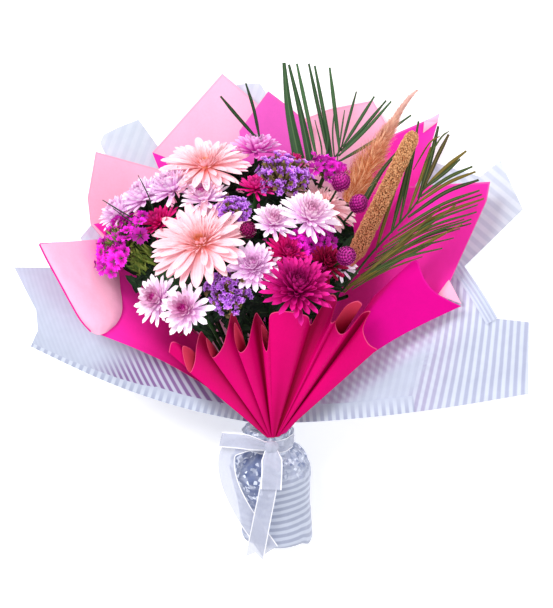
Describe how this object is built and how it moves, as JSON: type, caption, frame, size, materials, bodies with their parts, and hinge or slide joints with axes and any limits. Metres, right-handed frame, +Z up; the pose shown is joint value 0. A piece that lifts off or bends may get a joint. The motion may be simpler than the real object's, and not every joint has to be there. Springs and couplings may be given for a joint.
{
  "type": "flower bouquet",
  "caption": "Mixed flower bouquet in pink paper and striped clear film, tied with a white ribbon over its film-wrapped stems, lying on its back.",
  "frame": {"origin": "on the surface, under the middle of the bouquet's box", "axes": "+X to the right as seen from its front, +Y from the tie towards the heads, +Z up from the surface, out of the bouquet's front"},
  "size_m": [0.51, 0.4964, 0.2259],
  "materials": {
    "film": "clear glossy film with fine printed stripes",
    "paper": "satin paper, pale pink on one side and hot pink on the other",
    "front_paper": "satin hot pink paper",
    "ribbon": "sheer white organza with satin edges",
    "twine": "rough twine",
    "petals_lilac_white": "matt white petals with a lilac blush",
    "petals_fuchsia": "matt fuchsia petals",
    "petals_pink": "matt pale pink petals",
    "petals_orchid": "matt orchid pink petals",
    "petals_wine": "matt dark wine petals",
    "petals_crimson": "matt crimson petals",
    "petals_peach": "matt peach petals, coral at their roots",
    "statice_purple": "papery purple cups",
    "dianthus_pink": "matt bright pink toothed petals",
    "globe_purple": "papery purple bracts",
    "seed_tan": "matt tan seeds",
    "plume_orange": "matt orange tan barbs",
    "palm_dark": "satin dark green leaf",
    "palm_olive": "satin olive green leaf",
    "stem_green": "satin green stems and leaves"
  },
  "bodies": {
    "root": {"film_back": "film", "film_left": "film", "film_right": "film", "film_handle": "film", "paper_back_left": "paper", "paper_back_middle": "paper", "paper_back_right": "paper", "paper_top_right": "paper", "paper_right": "paper", "paper_left_upper": "paper", "paper_left_lower": "paper", "paper_front_right": "front_paper", "paper_fan": "front_paper", "ribbon_band": "ribbon", "ribbon_bow": "ribbon", "binding_twine": "twine", "mum_white_low": "petals_lilac_white", "mum_white_edge": "petals_lilac_white", "mum_white_right": "petals_lilac_white", "mum_white_centre": "petals_lilac_white", "mum_white_eye": "petals_lilac_white", "mum_white_top": "petals_lilac_white", "mum_white_left": "petals_lilac_white", "mum_white_far_left": "petals_lilac_white", "mum_white_hidden": "petals_lilac_white", "mum_magenta": "petals_fuchsia", "mum_cerise_middle": "petals_fuchsia", "mum_pink_middle": "petals_pink", "mum_pink_top": "petals_orchid", "mum_wine": "petals_wine", "mum_crimson_behind": "petals_crimson", "mum_crimson_top": "petals_crimson", "mum_cerise_left": "petals_crimson", "gerbera_lower": "petals_peach", "gerbera_upper": "petals_peach", "gerbera_right": "petals_peach", "statice_left": "statice_purple", "statice_top": "statice_purple", "statice_low": "statice_purple", "dianthus_left": "dianthus_pink", "dianthus_top": "dianthus_pink", "dianthus_middle": "dianthus_pink", "globe_top": "globe_purple", "globe_right": "globe_purple", "globe_low": "globe_purple", "globe_dark": "globe_purple", "millet_head": "seed_tan", "plume": "plume_orange", "palm_left": "palm_dark", "palm_right": "palm_olive", "stems": "stem_green"}
  },
  "joints": []
}
